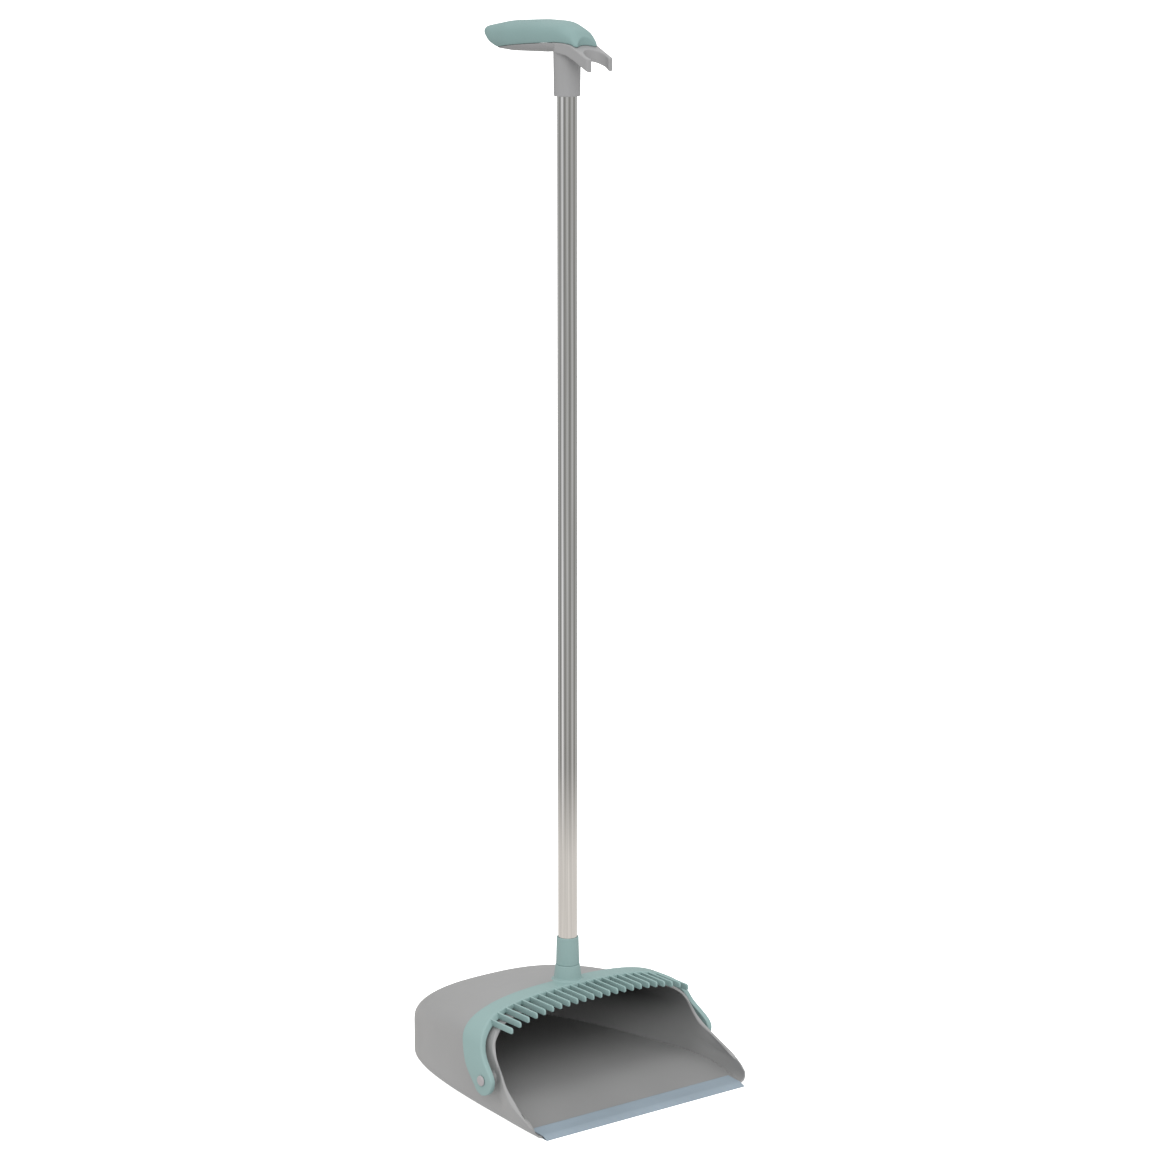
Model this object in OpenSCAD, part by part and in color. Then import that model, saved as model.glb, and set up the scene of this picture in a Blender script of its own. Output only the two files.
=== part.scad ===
// Upright dustpan: a hooded pan hangs from a comb-edged bail on a long tube with a hooked grip.
// Units are millimetres. X is the width, the lip faces -Y, Z is up, and the pan stands on z = 0.

/* [Pan] */
// Pan width across the wings at the mouth
pan_width = 228; // [224:0.5:230]
// Depth of the moulded pan from the wing tips to the rear wall
pan_depth = 256; // [250:1:262]
// Height of the hood above the ground
hood_height = 83.6; // [83:0.1:83.8]
// Wall thickness of the pan
pan_wall = 2.4; // [2:0.1:3]
// Radius along the bottom edges at the mouth
front_edge_radius = 12; // [11:0.5:14]
// Radius along the bottom edges at the rear wall
rear_edge_radius = 5; // [4:0.5:7]
// How much each side closes in per millimetre of depth
side_taper = 0.13; // [0.12:0.001:0.14]
// Height of the floor behind the ramp
ramp_rise = 14; // [10:0.5:16]

/* [Lip] */
// Width of the flexible lip
lip_width = 210; // [200:1:210]
// How far the lip reaches in front of the pan floor
lip_reach = 5.8; // [4:0.2:8]
// Thickness of the lip at its front edge
lip_edge = 1; // [0.6:0.1:1.4]
// Depth of the part of the lip that lies on the pan floor
lip_overlap = 15.5; // [10:0.5:18]

/* [Bail] */
// Width across the outside of the arms
bail_width = 236; // [235:1:240]
// Height of the top of the arch
bail_height = 89.3; // [89.2:0.1:91]
// Thickness of the arch and arms
bail_thickness = 5; // [4.6:0.1:5]
// Radius of the round end of each arm
eye_radius = 12.6; // [11.6:0.2:13]
// Height of the hinge axis
hinge_height = 35; // [33:0.5:37]
// How far the hinge axis lies in front of the tube
hinge_forward = 36; // [34:0.5:38]
// Radius of the hinge pins
hinge_pin_radius = 3; // [2.5:0.1:3.2]

/* [Comb] */
// Teeth on each side of the middle one
teeth_per_side = 11; // [8:1:11]
// Spacing of the teeth
tooth_pitch = 8.46; // [8.2:0.01:8.5]
// Thickness of a tooth
tooth_thickness = 1.8; // [1.4:0.1:2.2]
// Height of a tooth
tooth_height = 5.2; // [4:0.1:5.2]
// How far the tooth tips lie in front of the tube
tooth_reach = 45.4; // [40:0.1:47]

/* [Tube] */
// Outside diameter of the tube
tube_diameter = 16; // [15.9:0.05:16]
// Wall thickness of the tube
tube_wall = 0.8; // [0.6:0.1:1]
// Length of the tube
tube_length = 745; // [600:5:760]

/* [Handle] */
// Length of the neck that holds the tube
neck_length = 29; // [25:1:35]
// Radius of the pole that the broom clip holds
clip_radius = 9.6; // [9:0.1:10]
// Wall thickness of the two handle mouldings
handle_wall = 2.2; // [1.8:0.1:2.6]

/* [Build] */
// Sub-part to draw, or all of them

/* [Hidden] */
$fn = 64;
slip = 0.05;            // radial clearance of a shaft that turns or slides in
overrun = 1;            // how far a cutter passes the face that it opens
// every y below is measured from the tube's axis, and tube_y moves the finished sub-part
wing_front = -99.5;
rear_wall = wing_front + pan_depth;
rear_cut = 0.995;        // the last section of the pan lies this share of its depth back
tube_y = -(2 * wing_front + pan_depth * rear_cut - lip_reach) / 2;
seat_top = 102.3;       // rim of the bail's socket
tube_bottom = seat_top + 2.7;
tube_top = tube_bottom + tube_length;
grip_base = tube_top + 5.2;
// colours
pan_grey = [0.62, 0.62, 0.61];
mint = [0.57, 0.68, 0.66];
lip_blue = [0.58, 0.63, 0.68];
steel = [0.80, 0.79, 0.77];
handle_grey = [0.62, 0.62, 0.62];

// ---- shared curves and placements ----
function bezier(a, b, c, d, steps = 8) =
    [for (i = [0 : steps]) let (t = i / steps, s = 1 - t)
        s*s*s*a + 3*s*s*t*b + 3*s*t*t*c + t*t*t*d];
// the right half of a flat-topped arch, from the side (x = half_w) up to the middle
function arch(half_w, spring, rise, power, steps = 14) =
    [for (i = [0 : steps]) let (t = 90 * i / steps)
        [half_w * pow(cos(t), 2 / power), spring + rise * pow(sin(t), 2 / power)]];
function flip(points) = [for (i = [len(points) - 1 : -1 : 0]) [-points[i][0], points[i][1]]];
// profiles drawn in (x, z) and run along the depth
module facing_front(thickness) {
    rotate([90, 0, 0]) linear_extrude(thickness, center = true) children();
}
// profiles drawn in (y, z) and run across the width
module across(width) {
    rotate([90, 0, 90]) linear_extrude(width, center = true) children();
}
module both_sides() {
    for (side = [0, 1]) mirror([side, 0, 0]) children();
}

// ---- pan shape ----
hood_power = 2.75;       // squareness of the hood's arch
plan_power = 3.84;       // squareness of the rear corners seen from above
slope_power = 2.9;       // how late the hood drops towards the rear wall
slope_start = -60;       // where the hood starts to fall away
spring_share = 0.6;      // share of the height where the side walls start to round over
section_count = 14;
wing_flare = 5;          // how far each wing bells out between its tip and the hinge
flare_depth = 54;        // the flare ends this far behind the wing tips
flare_height = 20;       // height where the flare is full
sheet = 0.01;            // thickness of one section
// u is the distance behind the wing tips
function half_width(u) =
    (pan_width / 2 - side_taper * u) * pow(1 - pow(u / pan_depth, plan_power), 1 / plan_power);
function hood_at(u) =
    let (v = max(0, (wing_front + u - slope_start) / (rear_wall - slope_start)))
    hood_height * pow(1 - pow(v, slope_power), 1 / slope_power);
function edge_at(u) = front_edge_radius + (rear_edge_radius - front_edge_radius) * u / pan_depth;
function base_at(u) =
    let (w = max(0, (u - pan_depth + rear_edge_radius) / rear_edge_radius))
    rear_edge_radius * (1 - sqrt(1 - w * w));
function flare_at(u) = u < flare_depth ? wing_flare * sin(180 * u / flare_depth) : 0;
function section(u, inset) =
    let (half_w = half_width(u), base = base_at(u), rise = hood_at(u) - base, flare = flare_at(u),
         spring = base + spring_share * rise, edge_r = min(edge_at(u), spring_share * rise),
         corner = [for (t = [-90 : 18 : -18])
             let (z = base + edge_r + (edge_r - inset) * sin(t))
             [half_w - edge_r + (edge_r - inset) * cos(t) + flare * z / flare_height, z]],
         wall = flare > 0 ? [[half_w + flare - inset, flare_height]] : [],
         top = arch(half_w + flare - inset, spring, rise * (1 - spring_share) - inset, hood_power),
         side = concat(corner, wall, top))
    concat(side, flip(side));
// u of the sections in front of the flare's end and behind it
wing_sections = [for (i = [0 : 6]) flare_depth * i / 6];
hood_sections = concat([flare_depth], [for (i = [0 : section_count])
    let (u = pan_depth * rear_cut * sin(90 * i / section_count)) if (u > flare_depth + 1) u]);
// the pan's outer form, shrunk on all sides by inset
module pan_form(inset) {
    for (sections = [wing_sections, hood_sections]) hull() for (u = sections) {
        y = wing_front + u * (pan_depth - inset) / pan_depth - (u == 0 ? inset : 0);
        translate([0, y, 0]) facing_front(sheet) polygon(section(u, inset));
    }
}
// side view of everything in front of the mouth's edge
tip_height = 6;          // the wing tips start to round back at this height
hood_front = -19;         // the mouth edge ends here, under the band
rim_knee = [-77.5, 20.8];
rim_shoulder = [-33, 61];
rim_low = bezier([wing_front, tip_height], [wing_front + 0.5, 12], [-93, 14], rim_knee);
rim_high = bezier(rim_knee, [-60, 29], [-40, 44], rim_shoulder, 10);
rim_top = bezier(rim_shoulder, [-30.6, 67], [-23, 70], [hood_front, hood_height], 8);
module mouth_cutter() {
    clear_y = wing_front - 2 * overrun;
    top_z = hood_height + overrun;
    across(pan_width + 2 * overrun)
        polygon(concat([[clear_y, tip_height - 2], [wing_front, tip_height - 2]], rim_low, rim_high,
                       rim_top, [[hood_front, top_z], [clear_y, top_z]]));
}

// ---- pan floor ----
ramp_line = bezier([wing_front, pan_wall], [-75, pan_wall + 0.6], [-58, ramp_rise], [-28, ramp_rise], 10);
front_strip = 13;        // depth of the flat strip under the lip
rear_strip = 8;
rim_strip = 2;           // flat rim left beside the rounded bottom edges
// everything from the floor's surface down, lowered by drop
module below_floor(drop) {
    across(pan_width)
        polygon(concat([for (p = ramp_line) if (drop == 0 || p[0] > wing_front + front_strip) p - [0, drop]],
                       [[rear_wall, ramp_rise - drop], [rear_wall, -overrun],
                        [drop == 0 ? wing_front - 2 * pan_wall : wing_front + front_strip, -overrun]],
                       drop == 0 ? [[wing_front - 2 * pan_wall, pan_wall]] : []));
}
module underside_recess() {
    reach = pan_depth - rear_strip;
    half = [for (i = [0 : 12]) let (u = reach * sin(90 * i / 12))
        [half_width(u) - edge_at(u) - rim_strip, wing_front + u]];
    intersection() {
        below_floor(pan_wall);
        translate([0, 0, -2 * overrun]) linear_extrude(ramp_rise + 2 * overrun) polygon(concat(half, flip(half)));
    }
}

// ---- hinge ----
arm_inner = bail_width / 2 - bail_thickness;
boss_radius = 5.2;
boss_gap = 0.4;
boss_inner = half_width(-hinge_forward - wing_front) - 1;
pin_inner = boss_inner + 0.3;
head_height = 1.8;
head_radius = 3.8;
head_draft = 0.9;
head_inner = bail_width / 2 + 0.3;
module at_hinge(x) {
    translate([x, -hinge_forward, hinge_height]) rotate([0, 90, 0]) children();
}

module pan_body() {
    color(pan_grey) translate([0, tube_y, 0]) difference() {
        union() {
            difference() {
                pan_form(0);
                difference() {
                    pan_form(pan_wall);
                    below_floor(0);
                }
                mouth_cutter();
                underside_recess();
            }
            both_sides() at_hinge(boss_inner) cylinder(r = boss_radius, h = arm_inner - boss_gap - boss_inner);
        }
        both_sides() at_hinge(pin_inner) cylinder(r = hinge_pin_radius, h = bail_width / 2 - boss_inner);
    }
}

module lip_strip() {
    front = wing_front - lip_reach;
    back = wing_front + lip_overlap;
    thickness = 1;
    floor_part = [for (p = ramp_line) if (p[0] < back) p];
    slope = (floor_part[len(floor_part) - 1][1] - pan_wall) / (floor_part[len(floor_part) - 1][0] - wing_front);
    back_z = pan_wall + slope * lip_overlap;
    color(lip_blue) translate([0, tube_y, 0]) union() {
        across(lip_width)
            polygon([[front, 0], [wing_front, 0], [wing_front, pan_wall + thickness], [front, lip_edge]]);
        difference() {
            intersection() {
                across(lip_width)
                    polygon([[wing_front - thickness, pan_wall], [back, pan_wall], [back, back_z + thickness],
                             [wing_front, pan_wall + thickness], [wing_front - thickness, pan_wall + thickness / 2]]);
                pan_form(pan_wall);
            }
            below_floor(0);
        }
    }
}

module hinge_pins() {
    color(handle_grey) translate([0, tube_y, 0]) both_sides() {
        at_hinge(pin_inner) cylinder(r = hinge_pin_radius, h = head_inner + head_height / 2 - pin_inner);
        at_hinge(head_inner) cylinder(r1 = head_radius, r2 = head_radius - head_draft, h = head_height);
    }
}

// ---- bail ----
bail_power = 2.75;
bail_spring = 48;        // height where the arms start to round over into the band
shoulder_width = 226.4;  // width where the arms start to round over
leg_bottom = 15;
leg_top = hinge_height + 1; // the arms are upright up to here
band_front = -15;
band_rear = 3.5;
band_inner_height = bail_height - bail_thickness;
// one side of the arch seen from the front: an upright leg, a smooth lean inwards and then the arch
function bail_outline(half_w, foot_w, height) =
    let (top = arch(half_w, bail_spring, height - bail_spring, bail_power, 20),
         join = top[2], along = (top[3] - top[2]) / norm(top[3] - top[2]))
    concat([[foot_w, leg_bottom]],
           bezier([foot_w, leg_top], [foot_w, leg_top + 9], join - 8 * along, join, 10),
           [for (i = [3 : 20]) top[i]]);
module arch_ring() {
    outside = bail_outline(shoulder_width / 2, bail_width / 2, bail_height);
    inside = bail_outline(shoulder_width / 2 - bail_thickness, arm_inner, band_inner_height);
    facing_front(4 * hinge_forward) difference() {
        polygon(concat(outside, flip(outside)));
        polygon(concat(inside, flip(inside)));
        translate([-arm_inner, leg_bottom - overrun]) square([2 * arm_inner, 2 * overrun]);
    }
}
// side view of the bail: a level band over the hood whose arms sweep forward and down to the eyes
module bail_side() {
    eye_front = -hinge_forward - eye_radius;
    front_elbow = [-28.5, 58];
    rear_elbow = [-9, 48];
    front_low = bezier([eye_front, hinge_height], [eye_front, 43], [-33, 49], front_elbow);
    front_high = bezier(front_elbow, [-25, 65], [-24, 73], [-20, 76], 6);
    rear_high = bezier([band_rear, 82], [band_rear, 70], [0, 60], rear_elbow);
    rear_low = bezier(rear_elbow, [-14, 41], [-21.5, 33.5], [-27.5, 25.6]);
    across(bail_width) {
        polygon(concat([[-hinge_forward, hinge_height]], front_low, front_high,
                       [[band_front, 77.5], [band_front, 92], [band_rear, 92]], rear_high, rear_low));
        translate([-hinge_forward, hinge_height]) circle(eye_radius);
    }
}
module bail_arch() {
    intersection() {
        arch_ring();
        bail_side();
    }
}
socket_bottom = band_inner_height + 0.5;
socket_foot_radius = 11.8;
socket_rim_radius = 10.1;
stud_radius = 6;
stud_length = 13;
spot_depth = 3;          // the inside of each eye is faced off to clear the boss
module bail() {
    color(mint) translate([0, tube_y, 0]) difference() {
        union() {
            bail_arch();
            translate([0, 0, socket_bottom])
                cylinder(r1 = socket_foot_radius, r2 = socket_rim_radius, h = seat_top - socket_bottom);
        }
        translate([0, 0, seat_top - stud_length - 0.5]) cylinder(r = stud_radius + slip, h = stud_length + overrun);
        both_sides() {
            at_hinge(arm_inner - overrun) cylinder(r = hinge_pin_radius + slip, h = bail_thickness + 2 * overrun);
            at_hinge(arm_inner - spot_depth) cylinder(r = boss_radius + 0.6, h = spot_depth);
        }
    }
}

// ---- comb ----
tooth_root = -14;        // the teeth run this far under the front of the band
tooth_drop = 0.4;        // how far the teeth hang below the underside of the band
tooth_tip_radius = 1.6;
tooth_tilt = 1.5;        // the teeth point down by this angle
// height of the underside of the tooth at x
function tooth_base(x) =
    bail_spring - tooth_drop + (band_inner_height - bail_spring)
    * pow(1 - pow(abs(x) / (shoulder_width / 2 - bail_thickness), bail_power), 1 / bail_power);
module tooth_side() {
    tip = -tooth_reach;
    r = tooth_tip_radius;
    translate([tip + r, 0]) square([tooth_root - tip - r, tooth_height]);
    translate([tip, r]) square([2 * r, tooth_height - 2 * r]);
    for (z = [r, tooth_height - r]) translate([tip + r, z]) circle(r);
}
module comb_teeth() {
    color(mint) translate([0, tube_y, 0]) difference() {
        for (k = [-teeth_per_side : teeth_per_side]) {
            x = k * tooth_pitch;
            translate([x, 0, tooth_base(x)]) across(tooth_thickness)
                translate([tooth_root, 0]) rotate(tooth_tilt) translate([-tooth_root, 0]) tooth_side();
        }
        bail_arch();
    }
}

// ---- tube and its end pieces ----
tube_radius = tube_diameter / 2;
bore_radius = tube_radius - tube_wall;
sleeve_height = 23.6;
sleeve_foot_radius = 9.8;
sleeve_rim_radius = 9.2;
spigot_length = 17.6;
module pole_coupler() {
    color(mint) translate([0, tube_y, 0]) difference() {
        union() {
            translate([0, 0, seat_top]) cylinder(r1 = sleeve_foot_radius, r2 = sleeve_rim_radius, h = sleeve_height);
            translate([0, 0, seat_top - stud_length]) cylinder(r = stud_radius, h = stud_length);
        }
        difference() {
            translate([0, 0, tube_bottom]) cylinder(r = tube_radius, h = sleeve_height);
            translate([0, 0, tube_bottom]) cylinder(r = bore_radius, h = spigot_length);
        }
    }
}

module pole_tube() {
    color(steel) translate([0, tube_y, tube_bottom]) difference() {
        cylinder(r = tube_radius, h = tube_length);
        translate([0, 0, -overrun]) cylinder(r = bore_radius, h = tube_length + 2 * overrun);
    }
}

screw_radius = 1.8;
screw_depth = 18;        // how far the screw goes down into the plug
screw_head_radius = 3.6;
screw_head_height = 2;
web_top = tube_top + 3.4;
plug_length = 30;
module tube_plug() {
    color(handle_grey) translate([0, tube_y, tube_top - plug_length]) difference() {
        cylinder(r = bore_radius, h = plug_length);
        translate([0, 0, plug_length - screw_depth - 2]) cylinder(r = screw_radius, h = screw_depth + 2 + overrun);
    }
}

module handle_screw() {
    slot_depth = 0.8;
    color(steel) translate([0, tube_y, 0]) difference() {
        union() {
            translate([0, 0, tube_top - screw_depth])
                cylinder(r = screw_radius, h = screw_depth + web_top + overrun - tube_top);
            translate([0, 0, web_top])
                cylinder(r1 = screw_head_radius, r2 = screw_head_radius - 0.8, h = screw_head_height);
        }
        for (turn = [0, 90]) translate([0, 0, web_top + screw_head_height]) rotate(turn)
            cube([4, 0.8, 2 * slot_depth], center = true);
    }
}

// ---- handle ----
// pairs of spheres along the grip: half the spread, y, height above grip_base, radius
grip_stations = [[1.5, 97, 13.8, 5], [1.5, 82, 9.6, 9.6], [1.5, 66, 11.1, 12], [1, 24, 13.1, 13],
                 [2.6, 0, 15.3, 10.6], [5, -13, 13.2, 8.2], [7.5, -20, 8.3, 5]];
// the outer form of the grip, shrunk on all sides by inset
module grip_form(inset) {
    hull() for (s = grip_stations) for (side = [-1, 1])
        translate([side * s[0], s[1], grip_base + s[2]]) sphere(s[3] - inset, $fn = 32);
}
// side view of the line where the cover meets the shell
plate_slope = 0.46;
plate_height = 10.3;
seam_top = 9;
plate_knee = [-20, 7.8];
plate_end = [-60, plate_knee[1] - 40 * plate_slope];
seam_front = [[-12, 8.8], plate_knee, plate_end];
seam = concat(bezier([110, -3], [80, 2.5], [50, 6], [0, seam_top], 10), seam_front);
seam_width = 60;
module below_seam() {
    translate([0, 0, grip_base]) across(seam_width) polygon(concat(seam, [[-60, -50], [110, -50]]));
}
module above_seam() {
    translate([0, 0, grip_base]) across(seam_width) polygon(concat(seam, [[-60, 60], [110, 60]]));
}
// the sloping plate that ends in the broom clip's two curved arms
clip_y = -36.6;
clip_reach = 42.2;
clip_outer = 13.3;
clip_mouth = 17.4;
clip_tip_radius = 2.2;
module clip_plan() {
    corner_x = clip_outer - clip_tip_radius;
    corner_y = clip_tip_radius - clip_reach;
    difference() {
        union() {
            translate([-clip_outer, corner_y]) square([2 * clip_outer, -corner_y]);
            translate([-corner_x, -clip_reach]) square([2 * corner_x, 2 * clip_tip_radius]);
            for (side = [-1, 1]) translate([side * corner_x, corner_y]) circle(clip_tip_radius);
        }
        translate([0, clip_y]) circle(clip_radius);
        translate([-clip_mouth / 2, clip_y - 2 * clip_outer]) square([clip_mouth, 2 * clip_outer]);
    }
}
module clip_plate() {
    intersection() {
        translate([0, 0, grip_base - 30]) linear_extrude(60) clip_plan();
        translate([0, 0, grip_base]) across(seam_width)
            polygon(concat([[0, seam_top]], seam_front,
                           [plate_end - [0, plate_height], [-24, 6.3 - plate_height],
                            [-14, 9.8 - plate_height], [0, 11.5 - plate_height]]));
    }
}
neck_bottom = tube_top - neck_length + 0.5;
neck_top = grip_base + 3;
neck_foot_radius = 10.6;
neck_top_radius = 11.1;
head_room = 0.6;         // clearance round the screw's head
module handle_shell() {
    color(handle_grey) translate([0, tube_y, 0]) difference() {
        union() {
            intersection() {
                grip_form(0);
                below_seam();
            }
            translate([0, 0, neck_bottom])
                cylinder(r1 = neck_foot_radius, r2 = neck_top_radius, h = neck_top - neck_bottom);
            clip_plate();
        }
        intersection() {
            grip_form(handle_wall);
            translate([-seam_width / 2, -12, web_top]) cube([seam_width, 120, seam_width]);
        }
        translate([0, 0, neck_bottom - overrun]) cylinder(r = tube_radius, h = tube_top + overrun - neck_bottom);
        translate([0, 0, tube_top - overrun]) cylinder(r = screw_radius + 0.3, h = web_top + 2 * overrun - tube_top);
        translate([0, 0, web_top]) cylinder(r = screw_head_radius + head_room, h = grip_base + seam_top + overrun - web_top);
    }
}

nose_radius = 14.7;      // the cover is cut back this far round the clipped pole
module grip_cover() {
    color(mint) translate([0, tube_y, 0]) difference() {
        intersection() {
            grip_form(0);
            above_seam();
        }
        difference() {
            grip_form(handle_wall);
            translate([0, clip_y, grip_base - 20]) cylinder(r = nose_radius + handle_wall, h = seam_width);
        }
        translate([0, clip_y, grip_base - 20]) cylinder(r = nose_radius, h = seam_width);
    }
}

pan_body();
lip_strip();
hinge_pins();
bail();
comb_teeth();
pole_coupler();
pole_tube();
tube_plug();
handle_shell();
grip_cover();
handle_screw();
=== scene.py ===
"""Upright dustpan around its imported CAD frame. Lengths in the helpers are millimetres measured from
the tube's axis; TUBE_Y and MM bring them into the frame."""
import bisect
import math

import bmesh
import bpy
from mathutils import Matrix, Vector


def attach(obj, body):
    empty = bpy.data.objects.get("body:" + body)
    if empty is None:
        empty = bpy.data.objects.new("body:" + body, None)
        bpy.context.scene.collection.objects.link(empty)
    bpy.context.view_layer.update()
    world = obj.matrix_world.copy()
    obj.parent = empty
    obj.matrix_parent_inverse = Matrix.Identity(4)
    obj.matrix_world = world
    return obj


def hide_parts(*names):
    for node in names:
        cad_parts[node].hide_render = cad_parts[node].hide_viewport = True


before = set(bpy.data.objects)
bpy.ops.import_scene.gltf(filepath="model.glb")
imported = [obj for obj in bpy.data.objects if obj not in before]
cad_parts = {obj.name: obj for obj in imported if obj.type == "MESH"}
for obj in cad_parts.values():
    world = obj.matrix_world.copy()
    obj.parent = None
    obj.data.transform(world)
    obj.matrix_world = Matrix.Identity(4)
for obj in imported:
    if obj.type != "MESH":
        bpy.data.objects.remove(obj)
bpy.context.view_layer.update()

MM = 0.001
TUBE_Y = -24.96
PAN, POLE = "pan", "pole assembly"


# ---------------------------------------------------------------- mesh helpers
def place(p):
    return Vector((p[0] * MM, (p[1] + TUBE_Y) * MM, p[2] * MM))


def add_object(name, mesh):
    obj = bpy.data.objects.new(name, mesh)
    bpy.context.scene.collection.objects.link(obj)
    return obj


def mesh_object(name, bm):
    """An object made from bm, which is freed."""
    mesh = bpy.data.meshes.new(name)
    bm.to_mesh(mesh)
    bm.free()
    return add_object(name, mesh)


def finish_bmesh(name, bm, sharp=38.0, merge=0.0):
    """Turns bm into an object with outward faces, smooth but for edges sharper than the angle in degrees."""
    if merge:
        bmesh.ops.remove_doubles(bm, verts=bm.verts, dist=merge * MM)
    bmesh.ops.recalc_face_normals(bm, faces=bm.faces)
    for f in bm.faces:
        f.smooth = True
    limit = math.radians(sharp)
    for e in bm.edges:
        if len(e.link_faces) == 2 and e.calc_face_angle(0.0) > limit:
            e.smooth = False
    return mesh_object(name, bm)


def add_grid(bm, rows, close_rows=False, close_cols=False):
    """Quads between rows of points given in millimetres. Returns the vertices."""
    verts = [[bm.verts.new(place(p)) for p in row] for row in rows]
    n, m = len(verts), len(verts[0])
    for i in range(n if close_rows else n - 1):
        for j in range(m if close_cols else m - 1):
            a, b = verts[i], verts[(i + 1) % n]
            k = (j + 1) % m
            bm.faces.new((a[j], a[k], b[k], b[j]))
    return verts


def cap_ends(bm, rings):
    """Closes a tube of rings at its first and last ring."""
    for ring in (rings[0], rings[-1]):
        bm.faces.new(ring)


def lathe(bm, profile, turn=None, segments=72):
    """profile is (radius, height) pairs. turn places a point from the lathe's own axes."""
    turn = turn or (lambda p: p)
    rows = []
    for r, h in profile:
        rows.append([turn((r * math.cos(t), r * math.sin(t), h))
                     for t in (2 * math.pi * i / segments for i in range(segments))])
    cap_ends(bm, add_grid(bm, rows, close_cols=True))


def rounded(points, radii, steps=5):
    """A profile with the corners between its ends rounded. radii has one value for each point."""
    out = []
    for i, p in enumerate(points):
        r = radii[i]
        if i in (0, len(points) - 1) or r <= 0:
            out.append(p)
            continue
        a, b, c = Vector(points[i - 1]), Vector(p), Vector(points[i + 1])
        into, away = (a - b).normalized(), (c - b).normalized()
        r = min(r, (a - b).length * 0.45, (c - b).length * 0.45)
        start, end = b + into * r, b + away * r
        for k in range(steps + 1):
            t = k / steps
            out.append(tuple(start * (1 - t) ** 2 + b * 2 * t * (1 - t) + end * t * t))
    return out


def bezier(a, b, c, d, steps=24):
    out = []
    for i in range(steps + 1):
        t = i / steps
        s = 1 - t
        out.append(tuple(s ** 3 * a[k] + 3 * s * s * t * b[k] + 3 * s * t * t * c[k] + t ** 3 * d[k]
                         for k in range(2)))
    return out


def lookup(table, x):
    """Linear interpolation in a list of (x, y) pairs that rises in x."""
    xs = [p[0] for p in table]
    if x <= xs[0]:
        return table[0][1]
    if x >= xs[-1]:
        return table[-1][1]
    i = bisect.bisect_right(xs, x)
    (x0, y0), (x1, y1) = table[i - 1], table[i]
    return y0 + (y1 - y0) * (x - x0) / (x1 - x0)


def resample(line, fractions):
    """Points at these fractions of a polyline's length."""
    total = [0.0]
    for a, b in zip(line, line[1:]):
        total.append(total[-1] + math.dist(a, b))
    out = []
    for f in fractions:
        want = f * total[-1]
        i = min(max(bisect.bisect_right(total, want), 1), len(line) - 1)
        span = total[i] - total[i - 1]
        t = (want - total[i - 1]) / span if span else 0.0
        a, b = line[i - 1], line[i]
        out.append((a[0] + (b[0] - a[0]) * t, a[1] + (b[1] - a[1]) * t))
    return out


# ---------------------------------------------------------------- the pan's shape
PAN_W, PAN_D, HOOD_H, WALL = 228.0, 256.0, 83.6, 2.4
EDGE_FRONT, EDGE_REAR, TAPER = 12.0, 5.0, 0.13
FLARE, FLARE_DEPTH, FLARE_HEIGHT = 5.0, 54.0, 20.0
HOOD_P, PLAN_P, SLOPE_P = 2.75, 3.84, 2.9
WING_Y, REAR_Y, SLOPE_Y, SPRING = -99.5, 156.5, -60.0, 0.6
U_END = PAN_D * 0.995
RAMP = 14.0
RECESS_START, RECESS_END = 13.0, PAN_D - 8.0
TIP_H = 6.0
BEAD = 1.25                 # how far the rounded mouth edge stands ahead of the wall's end
INNER_EDGE = 0.62           # the inner bottom edges are this much tighter than the wall would make them
BOSS_OUT = 112.0            # the hinge bosses end here

ramp_line = bezier((WING_Y, WALL), (-75, WALL + 0.6), (-58, RAMP), (-28, RAMP))
rim_line = (bezier((WING_Y, TIP_H), (WING_Y + 0.5, 12), (-93, 14), (-77.5, 20.8))
            + bezier((-77.5, 20.8), (-60, 29), (-40, 44), (-33, 61))[1:]
            + bezier((-33, 61), (-30.6, 67), (-23, 70), (-19, 83.6))[1:])
rim_by_height = [(z, y) for y, z in rim_line]


def half_width(u):
    return (PAN_W / 2 - TAPER * u) * (1 - (u / PAN_D) ** PLAN_P) ** (1 / PLAN_P)


def hood_at(u):
    v = max(0.0, (WING_Y + u - SLOPE_Y) / (REAR_Y - SLOPE_Y))
    return HOOD_H * (1 - v ** SLOPE_P) ** (1 / SLOPE_P)


def edge_at(u):
    return EDGE_FRONT + (EDGE_REAR - EDGE_FRONT) * u / PAN_D


def flare_at(u):
    return FLARE * math.sin(math.pi * u / FLARE_DEPTH) if u < FLARE_DEPTH else 0.0


def section(u, inset):
    """Half of the pan's cross-section at u, from the bottom flat's edge up to the crown."""
    half_w, flare = half_width(u), flare_at(u)
    w = max(0.0, (u - PAN_D + EDGE_REAR) / EDGE_REAR)
    base = EDGE_REAR * (1 - math.sqrt(1 - w * w))
    rise = hood_at(u) - base
    spring = base + SPRING * rise
    edge = min(edge_at(u), SPRING * rise)
    r = (edge - inset) * (INNER_EDGE if inset else 1.0)
    out = []
    for i in range(13):
        t = math.radians(-90 + 7.5 * i)
        z = base + inset + r + r * math.sin(t)
        out.append((half_w - inset - r + r * math.cos(t) + flare * min(z / FLARE_HEIGHT, 1.0), z))
    if flare > 0:
        out.append((half_w + flare - inset, FLARE_HEIGHT))
    arch_w, arch_h = half_w + flare - inset, rise * (1 - SPRING) - inset
    for i in range(41):
        t = math.radians(90 * i / 40)
        c, s = max(math.cos(t), 0.0), max(math.sin(t), 0.0)
        out.append((arch_w * c ** (2 / HOOD_P), spring + arch_h * s ** (2 / HOOD_P)))
    return out


UPPER = 56
FRACTIONS = [i / UPPER for i in range(UPPER + 1)]
FLOOR_COLS = [0.0, 0.2, 0.4, 0.6, 0.8, 1.0]


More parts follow.
